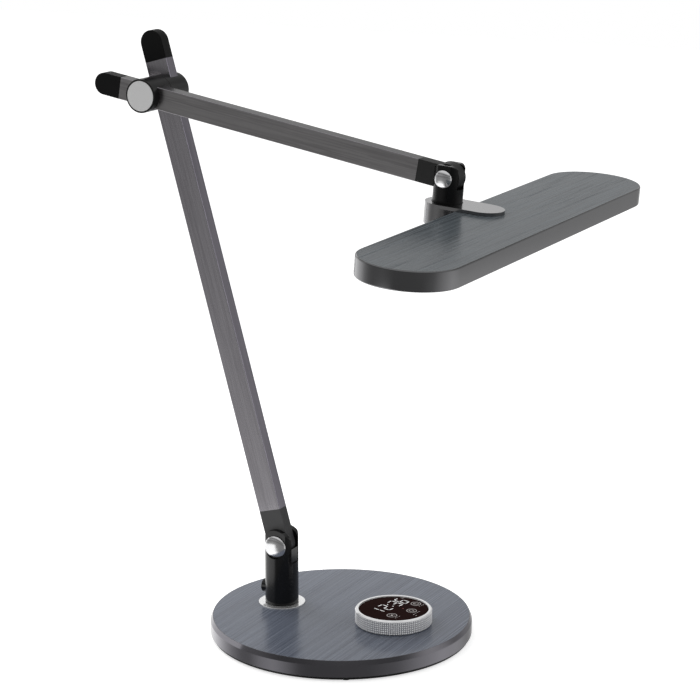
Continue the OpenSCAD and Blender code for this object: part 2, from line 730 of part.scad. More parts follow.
module swivel_nut() color("gray") at_post() translate([0, 0, nut_top - nut_h])
    hex_nut(swivel_nut_d, spigot_r + seat_gap, nut_h);

module post_wire() color("black") at_post()
    translate([cable_way_d / 2 - wire_d / 2 - seat_gap, 0, spigot_foot])
        cylinder(d = wire_d, h = pivot_z - slot_r - spigot_foot - 1);

// ---- lower arm ----

module lower_adaptor() color("dimgray") at_lower_arm() difference() {
    union() {
        bar(lower_w, lower_t, 0, adaptor_l);
        bar_end(lower_w, lower_t);
        tube_core(lower_w, lower_t, adaptor_l - cut, adaptor_l + plug_l, seat_gap);
    }
    y_cylinder(post_bolt_d / 2 + run_gap, -lower_t, lower_t);
    translate([lower_wire_x, 0, tongue_r + 2]) cylinder(d = wire_d + wire_play, h = adaptor_l + plug_l);
}

module lower_tube() color("gray") at_lower_arm() difference() {
    bar(lower_w, lower_t, adaptor_l + seat_gap, lower_l + lower_over);
    tube_core(lower_w, lower_t, adaptor_l, lower_l + lower_over + cut, 0);
    translate([0, 0, lower_l]) y_cylinder(elbow_bolt_d / 2 + seat_gap, -lower_t, lower_t);
}

module lower_cap() color("black") at_elbow() translate([0, 0, lower_over]) {
    bar(lower_w, lower_t, seat_gap, lower_cap_l - tongue_r);
    translate([0, 0, lower_cap_l - tongue_r]) bar_end(lower_w, lower_t);
    tube_core(lower_w, lower_t, -plug_l / 2, cut, seat_gap);
}

// A drum along Y from y0 to y1, its outer rims chamfered where asked
module drum(y0, y1, edge0, edge1) {
    r = elbow_d / 2;
    translate([0, y0, 0]) rotate([-90, 0, 0]) rotate_extrude() polygon([
        [0, 0], [r - edge0, 0], [r, edge0], [r, y1 - y0 - edge1], [r - edge1, y1 - y0], [0, y1 - y0]
    ]);
}

module rear_housing() color("#262626") at_elbow() difference() {
    drum(rear_face, elbow_rear, split_edge, elbow_edge);
    bar(lower_w + 2 * seat_gap, lower_t + 2 * seat_gap, -elbow_d, elbow_d);
    y_cylinder(elbow_bolt_d / 2 + seat_gap, rear_face - cut, elbow_rear + cut);
    y_cylinder(elbow_washer_r + seat_gap, rear_face - cut, front_face + rub_gap + washer_t + seat_gap);
    y_cylinder(elbow_nut_d / 2 + seat_gap, head_seat, elbow_rear + cut);
    y_cylinder(disc_d / 2 + seat_gap, elbow_rear - disc_t, elbow_rear + cut);
}

module elbow_bolt() color("gray") at_elbow() {
    y_cylinder(elbow_bolt_d / 2, disc_seat + move_gap, head_seat + cut);
    translate([0, head_seat + seat_gap, 0]) rotate([-90, 0, 0])
        cylinder(d = elbow_nut_d, h = elbow_nut_h, $fn = 6);
}

module elbow_nut() color("gray") at_elbow() translate([0, disc_seat + move_gap, 0]) rotate([-90, 0, 0])
    hex_nut(elbow_nut_d, elbow_bolt_d / 2 + seat_gap, elbow_nut_h - rub_gap);

module elbow_washer() color("ivory") at_elbow() translate([0, front_face + rub_gap, 0]) rotate([-90, 0, 0])
    ring(elbow_washer_r, elbow_bolt_d / 2 + seat_gap, washer_t);

module rear_cover() color("#262626") at_elbow()
    y_cylinder(disc_d / 2, elbow_rear - disc_t + seat_gap, elbow_rear);

module lower_wire() color("black") at_lower_arm() translate([lower_wire_x, 0, tongue_r + 3])
    cylinder(d = wire_d, h = lower_l - tongue_r);

// ---- upper arm ----

module upper_tube() color("gray") along_upper_arm() difference() {
    bar(upper_w, upper_t, -upper_over, upper_l - tip_l);
    tube_core(upper_w, upper_t, -upper_over - cut, upper_l, 0);
    y_cylinder(elbow_bolt_d / 2 + move_gap, -upper_t, upper_t);
}

module upper_cap() color("black") along_upper_arm() translate([0, 0, -upper_over]) {
    bar(upper_w, upper_t, upper_w / 2 - upper_cap_l, -seat_gap);
    translate([0, 0, upper_w / 2 - upper_cap_l]) bar_end(upper_w, upper_t);
    tube_core(upper_w, upper_t, -cut, plug_l / 2, seat_gap);
}

module front_housing() color("#262626") along_upper_arm() difference() {
    near = arm_offset;
    drum(front_y + near, front_face + near, elbow_edge, split_edge);
    bar(upper_w + 2 * seat_gap, upper_t + 2 * seat_gap, -elbow_d, elbow_d);
    y_cylinder(elbow_bolt_d / 2 + run_gap, front_y + near - cut, front_face + near + cut);
    y_cylinder(elbow_nut_d / 2 + move_gap, front_y + near - cut, nut_seat + near);
    y_cylinder(disc_d / 2 + seat_gap, front_y + near - cut, disc_seat + near);
}

module elbow_disc() color("silver") along_upper_arm()
    y_cylinder(disc_d / 2, front_y + arm_offset - disc_show, disc_seat + arm_offset - seat_gap);

module tip_adaptor() color("black") along_upper_arm() difference() {
    union() {
        bar(upper_w, upper_t, upper_l - tip_l + seat_gap, upper_l);
        translate([0, 0, upper_l]) y_cylinder(nose_r, -upper_t / 2, upper_t / 2);
        tube_core(upper_w, upper_t, upper_l - tip_l - plug_l, upper_l - tip_l + cut, seat_gap);
    }
    translate([0, 0, upper_l]) y_cylinder(head_bolt_d / 2 + run_gap, -upper_t, upper_t);
    translate([upper_wire_x, 0, 0]) cylinder(d = wire_d + wire_play, h = upper_l - nose_r - 2);
}

module upper_wire() color("black") along_upper_arm() translate([upper_wire_x, 0, 0])
    cylinder(d = wire_d, h = upper_l - nose_r - 3);

// ---- yoke ----

// The outline of the yoke's ears, seen along Y, in the frame of the head's pivot
module yoke_outline() {
    translate([-yoke_r, yoke_foot]) square([2 * yoke_r, yoke_top - yoke_round - yoke_foot]);
    translate([yoke_round - yoke_r, 0]) square([2 * (yoke_r - yoke_round), yoke_top]);
    for (s = [-1, 1]) translate([s * (yoke_r - yoke_round), yoke_top - yoke_round]) circle(yoke_round);
}

module head_yoke() color("black") at_head() difference() {
    union() {
        intersection() {
            translate([0, 0, yoke_foot]) cylinder(r = yoke_r, h = yoke_top - yoke_foot + cut);
            y_slab(-yoke_r - cut, yoke_r + cut) yoke_outline();
        }
        translate([0, 0, head_spigot_foot])
            cylinder(d = head_spigot_d, h = yoke_foot - head_spigot_foot + cut);
    }
    y_slab(-yoke_slot_half, yoke_slot_half) {
        circle(yoke_slot_r);
        translate([-2 * yoke_r, -yoke_notch]) square([4 * yoke_r, 4 * yoke_r]);
        rotate(tip_dip) translate([-2 * yoke_r, -yoke_swing_half]) square([2 * yoke_r, 2 * yoke_swing_half]);
    }
    ear_cuts(upper_t, head_bolt_d / 2, head_cap_d / 2);
    translate([0, 0, head_spigot_foot - cut])
        cylinder(r = head_way_r, h = -yoke_slot_r - head_spigot_foot + 2 * cut);
}

module head_bolt() color("gray") at_head() y_cylinder(head_bolt_d / 2, -ear_half, ear_half);

module head_caps() color("white") at_head() dome_pair(head_cap_d);

module head_washers() color("ivory") at_head() washer_pair(upper_t, head_bolt_d / 2);

module head_spring() color("gray") at_head() translate([0, 0, head_spring_top - spring_t])
    ring(drum_room_r - 2.5, head_spigot_d / 2 + seat_gap, spring_t);

module head_nut() color("gray") at_head() translate([0, 0, head_nut_top - nut_h])
    hex_nut(head_nut_d, head_spigot_d / 2 + seat_gap, nut_h);

// ---- bracket ----

// The tongue's outline: the drum's circle drawn out to a smaller round end
module tongue_outline() {
    end_r = tongue_w / 2;
    reach = tongue_reach - end_r;
    lean = asin((drum_r - end_r) / reach);
    circle(drum_r);
    translate([reach, 0]) circle(end_r);
    polygon([
        [drum_r * sin(lean), drum_r * cos(lean)], [reach + end_r * sin(lean), end_r * cos(lean)],
        [reach + end_r * sin(lean), -end_r * cos(lean)], [drum_r * sin(lean), -drum_r * cos(lean)]
    ]);
}

module head_bracket() color("darkgray") at_head() difference() {
    union() {
        translate([0, 0, drum_floor]) cylinder(r = drum_r, h = drum_h);
        translate([0, 0, panel_top + seat_gap]) linear_extrude(tongue_t - seat_gap) tongue_outline();
    }
    translate([0, 0, yoke_foot - move_gap]) cylinder(r = yoke_r + move_gap, h = 2 * drum_top_t);
    translate([0, 0, drum_floor - cut]) cylinder(d = head_spigot_d + 2 * run_gap, h = drum_h + cut);
    translate([0, 0, drum_floor - cut]) cylinder(r = drum_room_r, h = drum_deck - drum_floor + cut);
    for (x = bracket_screw_x) translate([x, 0, panel_top - cut])
        cylinder(d = screw_d + 2 * seat_gap, h = tongue_t + cut - screw_end);
}

module drum_cover() color("darkgray") at_head() translate([0, 0, drum_floor])
    cylinder(r = drum_room_r - seat_gap, h = 1.5);

module bracket_screws() color("silver") at_head() for (x = bracket_screw_x)
    translate([x, 0, panel_deck - seat_gap]) screw(panel_wall + skin_t + tongue_t - screw_end - 2 * rub_gap);

// ---- light panel ----

// Standing ribs inside the panel that press the light stack down
module rib_places() for (x = [-1, 1], y = [-2.5, -1.5, -0.5, 0.5, 1.5, 2.5])
    translate([x * (guide_w / 2 - 6), y * strip_l / 6, 0]) children();

module driver_post_places() for (x = [-1, 1], y = [-1, 1])
    translate([x * (driver_w / 2 - 3), driver_y + y * (driver_l / 2 - 3), 0]) children();

// The drum's place in the panel, with a wall around it where asked
module drum_notch(wall = seat_gap) translate([-panel_reach, 0, panel_floor - cut])
    cylinder(r = drum_r + wall, h = panel_t + 2 * cut);

module bracket_screw_holes(r) for (x = bracket_screw_x) translate([x - panel_reach, 0, panel_deck - cut])
    cylinder(r = r, h = panel_wall + skin_t + 2 * cut);

module head_shell() color("dimgray") at_panel() difference() {
    union() {
        difference() {
            round_pill(panel_l, panel_w, panel_floor, panel_top, panel_round);
            pill(panel_l - 2 * panel_lip_w, panel_w - 2 * panel_lip_w, panel_top - skin_t, panel_top + cut);
            difference() {
                pill(panel_l - 2 * panel_wall, stack_w, panel_floor - cut, panel_deck);
                drum_notch(panel_wall);
            }
        }
        rib_places() translate([0, 0, reflector_z + reflector_t + seat_gap])
            cylinder(r = rib_r, h = panel_deck - reflector_z - reflector_t);
        driver_post_places() translate([0, 0, driver_z + board_t + seat_gap])
            cylinder(r = rib_r, h = panel_deck - driver_z - board_t);
    }
    drum_notch();
    bracket_screw_holes(screw_d / 2 + seat_gap);
}

// A layer of the light stack: length l, width w, cut back around the drum
module layer(l, w, z0, z1) difference() {
    pill(l, w, z0, z1);
    drum_notch(panel_wall + 2 * seat_gap);
}

module head_skin() color("slategray") at_panel() difference() {
    lip = 2 * (panel_lip_w + seat_gap);
    pill(panel_l - lip, panel_w - lip, panel_top - skin_t + seat_gap, panel_top);
    drum_notch();
    bracket_screw_holes(screw_d / 2 + seat_gap);
}

module driver_board() color("darkgreen") at_panel() translate([0, driver_y, driver_z]) union() {
    translate([-driver_w / 2, -driver_l / 2, 0]) cube([driver_w, driver_l, board_t]);
    translate([-chip_w / 2, -driver_l / 4, board_t - board_overlap]) cube([chip_w, chip_l, chip_h]);
}

module reflector_sheet() color("white") at_panel()
    layer(panel_l - 2 * panel_wall - 4 * move_gap, guide_w, reflector_z, reflector_z + reflector_t);

module light_guide() color("lightblue") at_panel()
    layer(panel_l - 2 * panel_wall - 4 * move_gap, guide_w, guide_z, guide_z + guide_t);

// Each strip is one board with its row of chips; the rear one stops short of the drum's notch
module led_strips() color("khaki") at_panel() {
    x = guide_w / 2 + move_gap;
    gap_half = drum_r + panel_wall + 3;
    translate([x, -strip_l / 2, guide_z]) cube([strip_t, strip_l, strip_h]);
    for (s = [-1, 1]) translate([-x - strip_t, s > 0 ? gap_half : -strip_l / 2, guide_z])
        cube([strip_t, strip_l / 2 - gap_half, strip_h]);
}

module diffuser() color("white") at_panel() {
    edge = 2 * (panel_wall + seat_gap);
    inner = 2 * (panel_wall + bezel_w + seat_gap);
    layer(panel_l - edge, panel_w - edge, diffuser_z, diffuser_z + diffuser_t);
    pill_layer(panel_l - inner, panel_w - inner, panel_floor + 0.3, diffuser_z + 0.5, bezel_w + seat_gap);
}

// A layer cut back further at the drum, by the given width
module pill_layer(l, w, z0, z1, back) difference() {
    pill(l, w, z0, z1);
    drum_notch(panel_wall + back + seat_gap);
}

module head_bezel() color("dimgray") at_panel() difference() {
    edge = 2 * (panel_wall + seat_gap);
    inner = 2 * (panel_wall + bezel_w);
    layer(panel_l - edge, panel_w - edge, panel_floor, diffuser_z - seat_gap);
    pill_layer(panel_l - inner, panel_w - inner, panel_floor - cut, diffuser_z + cut, bezel_w);
}

base_shell();
base_insert();
base_ballast();
bottom_plate();
base_feet();
base_screws();
collar_ring();
swivel_bush();
foot_washer();
dial_core();
core_screws();
display_board();
display_lens();
control_board();
board_screws();
knob_ring();
encoder_track();
post();
cable_cover();
dc_inlet();
post_bolt();
post_caps();
post_washers();
swivel_spring();
swivel_nut();
post_wire();
lower_adaptor();
lower_tube();
lower_cap();
rear_housing();
elbow_bolt();
elbow_nut();
elbow_washer();
rear_cover();
lower_wire();
upper_tube();
upper_cap();
front_housing();
elbow_disc();
tip_adaptor();
upper_wire();
head_yoke();
head_bolt();
head_caps();
head_washers();
head_spring();
head_nut();
head_bracket();
drum_cover();
bracket_screws();
head_shell();
head_skin();
driver_board();
reflector_sheet();
light_guide();
led_strips();
diffuser();
head_bezel();
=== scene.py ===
import bpy
import bmesh
import json
import math
from mathutils import Matrix, Vector


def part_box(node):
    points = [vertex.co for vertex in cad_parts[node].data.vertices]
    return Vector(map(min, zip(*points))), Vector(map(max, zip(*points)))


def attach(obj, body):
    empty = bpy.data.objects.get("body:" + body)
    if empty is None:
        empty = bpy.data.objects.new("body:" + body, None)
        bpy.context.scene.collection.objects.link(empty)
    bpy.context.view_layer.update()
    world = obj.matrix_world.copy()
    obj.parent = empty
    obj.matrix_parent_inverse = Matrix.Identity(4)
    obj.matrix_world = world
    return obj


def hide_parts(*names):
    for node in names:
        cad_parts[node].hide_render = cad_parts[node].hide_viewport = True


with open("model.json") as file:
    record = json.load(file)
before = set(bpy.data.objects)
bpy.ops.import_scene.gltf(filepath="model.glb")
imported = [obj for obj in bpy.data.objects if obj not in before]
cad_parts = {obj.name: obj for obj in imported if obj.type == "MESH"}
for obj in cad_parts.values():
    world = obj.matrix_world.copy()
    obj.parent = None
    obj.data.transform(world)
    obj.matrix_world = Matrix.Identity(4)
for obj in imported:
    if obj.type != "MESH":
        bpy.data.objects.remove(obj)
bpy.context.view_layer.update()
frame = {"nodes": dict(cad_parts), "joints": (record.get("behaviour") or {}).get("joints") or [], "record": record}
cadNodes = frame["nodes"]
bodyOf = {n: b for b, names in frame["record"]["behaviour"]["bodies"].items() for n in names}
slotOf = {s["node"]: s["material_slot"] for s in frame["record"]["subparts"]}
joints = {j["name"]: j for j in frame["joints"]}
mm = 0.001
print("lamp loaded:", len(cadNodes), "nodes")


def placeAlong(origin, along):  # local Z runs along the piece, local Y across the lamp
    across = Vector((0, 1, 0))
    z = Vector(along).normalized()
    turn = Matrix((across.cross(z), across, z)).transposed()
    return Matrix.Translation(origin) @ turn.to_4x4()


def extents(node, place):  # a node's lowest and highest corner in a piece's own frame
    toLocal = place.inverted()
    spots = [toLocal @ v.co for v in cadNodes[node].data.vertices]
    return Vector(tuple(map(min, zip(*spots)))), Vector(tuple(map(max, zip(*spots))))


footPivot = Vector(joints["lower_arm_tilt"]["pos_m"])
elbowPivot = Vector(joints["elbow_tilt"]["pos_m"])
headPivot = Vector(joints["head_tilt"]["pos_m"])
elbowBack = Vector((elbowPivot.x, footPivot.y, elbowPivot.z))
elbowFront = Vector((elbowPivot.x, headPivot.y, elbowPivot.z))
dialSpot = joints["dial_turn"]["pos_m"]
dialPlace = Matrix.Translation((dialSpot[0], dialSpot[1], 0))
footPlace = Matrix.Translation(footPivot)
lowerPlace = placeAlong(footPivot, elbowBack - footPivot)
upperPlace = placeAlong(elbowFront, headPivot - elbowFront)
headPlace = placeAlong(headPivot, joints["head_swivel"]["axis"])


def feed(tree, socket, value):  # a link where the value is a signal, else a plain setting
    if isinstance(value, Signal):
        tree.links.new(value.socket, socket)
    else:
        socket.default_value = value


class Signal:
    def __init__(self, tree, socket):
        self.tree, self.socket = tree, socket

    def maths(self, operation, *values):
        node = self.tree.nodes.new("ShaderNodeMath")
        node.operation = operation
        for socket, value in zip(node.inputs, values):
            feed(self.tree, socket, value)
        return Signal(self.tree, node.outputs[0])

    def __add__(self, other):
        return self.maths("ADD", self, other)

    def __radd__(self, other):
        return self.maths("ADD", other, self)

    def __sub__(self, other):
        return self.maths("SUBTRACT", self, other)

    def __rsub__(self, other):
        return self.maths("SUBTRACT", other, self)

    def __mul__(self, other):
        return self.maths("MULTIPLY", self, other)

    def __rmul__(self, other):
        return self.maths("MULTIPLY", other, self)

    def __truediv__(self, other):
        return self.maths("DIVIDE", self, other)

    def __rtruediv__(self, other):
        return self.maths("DIVIDE", other, self)


class Shading:  # the nodes of one material or of the world
    def __init__(self, owner):
        owner.use_nodes = True
        self.owner, self.tree = owner, owner.node_tree
        self.tree.nodes.clear()

    def node(self, kind, settings=None, values=None, output=0):
        made = self.tree.nodes.new("ShaderNode" + kind)
        for key, value in (settings or {}).items():
            if key == "stops":
                ramp = made.color_ramp
                for i, (spot, shade) in enumerate(value):
                    stop = ramp.elements[i] if i < 2 else ramp.elements.new(spot)
                    stop.position = spot
                    stop.color = (*shade, 1) if isinstance(shade, tuple) else (shade, shade, shade, 1)
            else:
                setattr(made, key, value)
        for key, value in (values or {}).items():
            feed(self.tree, made.inputs[key], value)
        return Signal(self.tree, made.outputs[output]) if made.outputs else None

    def streaks(self, place, width, length, detail=3.0, swap=False):  # noise drawn out along a piece's local Z, or Y
        spots = self.node("TexCoord", output="Object")
        sizes = (width, length, width) if swap else (width, width, length)
        drawn = self.node("Mapping", {"vector_type": "TEXTURE"}, {
            "Vector": spots, "Location": place.translation, "Rotation": place.to_euler(),
            "Scale": tuple(s * mm for s in sizes)})
        return self.node("TexNoise", None, {"Vector": drawn, "Scale": 1.0, "Detail": detail, "Roughness": 0.6})

    def specks(self, size, detail=2.0):
        spots = self.node("TexCoord", output="Object")
        return self.node("TexNoise", None, {"Vector": spots, "Scale": 1 / (size * mm), "Detail": detail})

    def blend(self, amount, first, second, how="MIX"):
        return self.node("Mix", {"data_type": "RGBA", "blend_type": how}, {0: amount, 6: first, 7: second}, 2)

    def tint(self, amount, dark, light):
        return self.blend(amount, (*dark, 1), (*light, 1))

    def spread(self, signal, low, high, toLow=0.0, toHigh=1.0):
        return self.node("MapRange", {"interpolation_type": "SMOOTHSTEP"}, {
            "Value": signal, "From Min": low, "From Max": high, "To Min": toLow, "To Max": toHigh})

    def bump(self, height, depth, strength=1.0):
        return self.node("Bump", None, {"Height": height, "Strength": strength, "Distance": depth * mm})

    def close(self, **values):
        named = {k.replace("_", " "): v for k, v in values.items()}
        shader = self.node("BsdfPrincipled", None, named)
        self.node("OutputMaterial", None, {"Surface": shader})
        return self.owner


def newFinish(name):
    return Shading(bpy.data.materials.new(name))


def brushedTop(name, place, dark, light, level=0.4):  # lacquered sheet with grain across the lamp
    f = newFinish(name)
    broad, fine = f.streaks(place, 2.2, 260, 2, True), f.streaks(place, 0.9, 200, 2, True)
    cuts = f.spread(f.streaks(place, 0.8, 120, 1, True), 0.58, 0.68)
    glints = f.spread(f.streaks(place, 0.8, 90, 1, True), 0.6, 0.7)
    grain = f.spread(broad * 0.4 + fine * 0.6, 0.4, 0.6)
    colour = f.tint(grain - cuts * 0.5 + glints * 0.4, dark, light)
    return f.close(Base_Color=colour, Roughness=0.2 + grain * 0.06 + cuts * 0.1, Specular_IOR_Level=level,
                   Normal=f.bump(grain * 0.6 - cuts * 0.6, 0.006, 0.5))


def shellMetal(name, tone, roughness=0.17, spread=0.03, metal=1.0):  # satin anodised metal
    f = newFinish(name)
    cloud, grit = f.specks(14), f.specks(0.5, 3)
    colour = f.tint(cloud * 0.8 + grit * 0.2, tuple(t * 0.96 for t in tone), tuple(t * 1.04 for t in tone))
    return f.close(Base_Color=colour, Metallic=metal, Roughness=roughness + (cloud - 0.5) * spread,
                   Normal=f.bump(grit, 0.001, 0.3))


def armMetal(name, place, dark, light, roughness=0.3, metal=1.0):  # brushed along the arm
    f = newFinish(name)
    broad, fine = f.streaks(place, 2.4, 120, 2), f.streaks(place, 0.8, 60, 2)
    glints = f.spread(f.streaks(place, 0.7, 26, 1), 0.58, 0.7)
    grain = f.spread(broad * 0.6 + fine * 0.4, 0.34, 0.66)
    colour = f.tint(grain + glints * 0.9, dark, light)
    return f.close(Base_Color=colour, Metallic=metal, Roughness=roughness + fine * 0.06,
                   Normal=f.bump(fine, 0.004, 0.4))


def mouldedPlastic(name, tone, roughness=0.45, level=0.4, grit=0.5, depth=0.006):
    f = newFinish(name)
    fine, cloud = f.specks(grit, 3), f.specks(14)
    colour = f.tint(cloud * 0.5 + fine * 0.5, tuple(t * 0.85 for t in tone), tuple(t * 1.15 for t in tone))
    return f.close(Base_Color=colour, Roughness=roughness + (cloud - 0.5) * 0.06, Specular_IOR_Level=level,
                   Normal=f.bump(fine, depth, 0.5))


def polished(name, tone, roughness=0.06, metal=1.0):
    f = newFinish(name)
    haze = f.specks(3, 4)
    return f.close(Base_Color=f.tint(haze, tuple(t * 0.96 for t in tone), tone), Metallic=metal,
                   Roughness=roughness + haze * 0.05)


def turnedMetal(name, place, tone):  # fine rings about a piece's local Y
    f = newFinish(name)
    spots = f.node("TexCoord", output="Object")
    local = f.node("Mapping", {"vector_type": "TEXTURE"}, {
        "Vector": spots, "Location": place.translation, "Rotation": place.to_euler()})
    rings = f.node("TexWave", {"wave_type": "RINGS", "rings_direction": "Y"}, {
        "Vector": local, "Scale": 260.0, "Distortion": 0.6, "Detail": 2.0})
    grit = f.specks(0.3, 3)
    mixed = rings * 0.45 + grit * 0.55
    return f.close(Base_Color=f.tint(mixed, tuple(t * 0.93 for t in tone), tuple(t * 1.05 for t in tone)),
                   Metallic=0.55, Roughness=0.3 + mixed * 0.12, Normal=f.bump(mixed, 0.004, 0.4))


def glow(name, tone, strength):  # a lit mark of the display
    f = newFinish(name)
    grain = f.specks(0.4)
    return f.close(Base_Color=f.tint(grain, tuple(t * 0.9 for t in tone), tone), Roughness=0.4,
                   Emission_Color=(*tone, 1), Emission_Strength=strength)


finishes = {  # one for each material slot of the lamp
    "shell_paint": shellMetal("shellMetal", (0.192, 0.187, 0.206)),
    "rim_grey": shellMetal("rimMetal", (0.178, 0.178, 0.183), 0.15),
    "bezel_grey": mouldedPlastic("bezelPlastic", (0.05, 0.05, 0.053)),
    "brushed_insert": brushedTop("brushedTop", Matrix(), (0.09, 0.102, 0.133), (0.142, 0.16, 0.2), 0.36),
    "ballast_steel": shellMetal("ballastSteel", (0.42, 0.42, 0.43), 0.4),
    "black_plate": mouldedPlastic("plateBlack", (0.008, 0.008, 0.009), 0.5, 0.3),
    "rubber": mouldedPlastic("footRubber", (0.014, 0.014, 0.014), 0.7, 0.3, 0.8, 0.03),
    "steel": shellMetal("platedSteel", (0.55, 0.55, 0.56), 0.3),
    "satin_silver": turnedMetal("satinSilver", upperPlace, (0.86, 0.86, 0.86)),
    "knob_silver": shellMetal("knurlSilver", (0.95, 0.95, 0.96), 0.3, 0.03, 0.4),
    "washer_polymer": mouldedPlastic("washerPolymer", (0.6, 0.58, 0.52)),
    "core_plastic": mouldedPlastic("corePlastic", (0.03, 0.03, 0.032)),
    "circuit_board": mouldedPlastic("boardGreen", (0.02, 0.1, 0.05), 0.3),
    "display_glass": mouldedPlastic("lensGlass", (0.019, 0.0098, 0.0092), 0.3, 0.0, 2.0, 0.0),
    "magnet_track": mouldedPlastic("magnetTrack", (0.06, 0.06, 0.065)),
    "post_black": mouldedPlastic("postBlack", (0.002, 0.002, 0.0021), 0.18, 0.5, 0.6, 0.002),
    "chrome_cap": polished("chromeCap", (0.84, 0.84, 0.85), 0.15),
    "wire_cover": mouldedPlastic("wireSleeve", (0.02, 0.02, 0.02)),
    "adaptor_grey": mouldedPlastic("adaptorGrey", (0.08, 0.08, 0.081), 0.55, 0.25),
    "arm_lower": armMetal("lowerArmMetal", lowerPlace, (0.33, 0.316, 0.338), (0.42, 0.404, 0.43), 0.22),
    "arm_upper": armMetal("upperArmMetal", upperPlace, (0.25, 0.242, 0.246), (0.34, 0.33, 0.334)),
    "cap_black": mouldedPlastic("capBlack", (0.0045, 0.0045, 0.0045), 0.5, 0.15),
    "drum_black": mouldedPlastic("drumBlack", (0.004, 0.004, 0.0042), 0.34, 0.42, 0.5, 0.003),
    "bracket_grey": shellMetal("bracketMetal", (0.285, 0.283, 0.287), 0.2),
    "reflector_white": mouldedPlastic("reflectorFilm", (0.8, 0.8, 0.8)),
    "guide_clear": mouldedPlastic("guideAcrylic", (0.7, 0.75, 0.78), 0.1),
    "led_board": mouldedPlastic("ledBoard", (0.8, 0.78, 0.55)),
    "diffuser_opal": mouldedPlastic("opalDiffuser", (0.8, 0.8, 0.78), 0.35, 0.5, 3.0, 0.01),
}
shadedNarrowSides = {  # the arms' narrow faces, in darker copies of their finishes: painted shade
    "arm_lower": armMetal("lowerArmSideShade", lowerPlace, (0.2, 0.188, 0.218), (0.26, 0.246, 0.28)),
    "arm_upper": armMetal("upperArmSideShade", upperPlace, (0.07, 0.068, 0.07), (0.11, 0.107, 0.11)),
    "adaptor_grey": mouldedPlastic("adaptorSideShade", (0.045, 0.045, 0.046), 0.55, 0.25),
}
cornerHighlights = {  # a painted highlight: the thin bright line along the arms' corners, in lighter copies of the arms' finishes
    "arm_lower": armMetal("lowerArmCornerHighlight", lowerPlace, (0.5, 0.47, 0.56), (0.66, 0.62, 0.74), 0.3, 0.45),
    "arm_upper": armMetal("upperArmCornerHighlight", upperPlace, (0.3, 0.29, 0.31), (0.42, 0.4, 0.43), 0.3, 0.45),
}
washerBlack = mouldedPlastic("washerBlack", (0.004, 0.004, 0.004), 0.5, 0.2)
for node, thing in cadNodes.items():
    for spot in thing.material_slots:
        spot.material = washerBlack if node == "foot_washer" else finishes[slotOf[node]]
print("finishes made:", len(finishes))


def addObject(name, data):
    thing = bpy.data.objects.new(name, data)
    bpy.context.scene.collection.objects.link(thing)
    return thing


def meshOf(name, shape):
    mesh = bpy.data.meshes.new(name)
    shape.to_mesh(mesh)
    shape.free()
    return mesh


def only(kind, things):
    return [t for t in things if isinstance(t, kind)]


def shiftVerts(shape, verts, x=0.0, y=0.0, z=0.0):
    bmesh.ops.translate(shape, verts=verts, vec=(x, y, z))


def cutPast(shape, level, way):  # drops what lies past a level on local Z, and gives the cut's pieces
    everything = shape.verts[:] + shape.edges[:] + shape.faces[:]
    return bmesh.ops.bisect_plane(shape, geom=everything, plane_co=(0, 0, level), plane_no=(0, 0, way),
                                  clear_outer=True)["geom_cut"]


def makePiece(name, shape, node, finishList, place=None, sharp=30, replace=True, edge=0, segments=2):
    bmesh.ops.recalc_face_normals(shape, faces=shape.faces)
    if place is not None:
        shape.transform(place)
    for face in shape.faces:
        face.smooth = True
    for line in shape.edges:
        line.smooth = line.calc_face_angle(0) < math.radians(sharp)
    mesh = meshOf(name, shape)
    for finish in finishList:
        mesh.materials.append(finish)
    piece = addObject(name, mesh)
    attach(piece, bodyOf[node])
    if replace:
        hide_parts(node)
    if edge:
        soft = piece.modifiers.new("softEdges", "BEVEL")
        soft.width, soft.segments = edge * mm, segments
        soft.limit_method, soft.angle_limit = "ANGLE", math.radians(sharp)
        soft.harden_normals = True
        soft.use_clamp_overlap = True
    return piece


def dressNode(node, edge=0.3, sharp=20, segments=2, name=None, finish=None):  # a node's own shape, softened
    shape = bmesh.new()
    shape.from_mesh(cadNodes[node].data)
    bmesh.ops.remove_doubles(shape, verts=shape.verts, dist=0.002 * mm)
    bmesh.ops.dissolve_limit(shape, angle_limit=math.radians(0.3), verts=shape.verts, edges=shape.edges)
    return makePiece(name or node + "_dressed", shape, node, [finish or finishes[slotOf[node]]],
                     sharp=sharp, edge=edge, segments=segments)


def joinShape(target, extra):  # adds one bmesh to another
    spare = meshOf("spare", extra)
    target.from_mesh(spare)
    bpy.data.meshes.remove(spare)


def barShape(width, thick, low, high, corner, roundLow=False, roundHigh=False):  # a flat arm along local Z
    shape = bmesh.new()
    clear, steps = 0.02 * mm, 64  # the bar stays just inside its solid
    half = width / 2 - clear
    turn = Matrix.Rotation(math.pi / 2, 4, "X") @ Matrix.Rotation(math.pi / steps, 4, "Z")
    size = half / math.cos(math.pi / steps)
    bmesh.ops.create_circle(shape, cap_ends=True, segments=steps, radius=size, matrix=turn)
    upper = [v for v in shape.verts if v.co.z > 0]
    lower = [v for v in shape.verts if v.co.z < 0]
    shiftVerts(shape, upper, z=high - clear - half if roundHigh else high + half)
    shiftVerts(shape, lower, z=low + clear + half if roundLow else low - half)
    drawn = bmesh.ops.extrude_face_region(shape, geom=shape.faces[:])["geom"]
    shiftVerts(shape, only(bmesh.types.BMVert, drawn), y=thick)
    shiftVerts(shape, shape.verts, y=-thick / 2)
    flatEnds = [(level, way) for rounded, level, way in ((roundHigh, high, 1), (roundLow, low, -1)) if not rounded]
    for level, way in flatEnds:
        cut = cutPast(shape, level, way)
        bmesh.ops.holes_fill(shape, edges=only(bmesh.types.BMEdge, cut))
    rims = [e for e in shape.edges if e.calc_face_angle(0) > 1 and not any(
        all(abs(v.co.z - level) < 1e-6 for v in e.verts) for level, way in flatEnds)]
    bmesh.ops.bevel(shape, geom=rims, offset=corner, offset_type="OFFSET", affect="EDGES", segments=4,
                    profile=0.5, material=-1)
    return shape


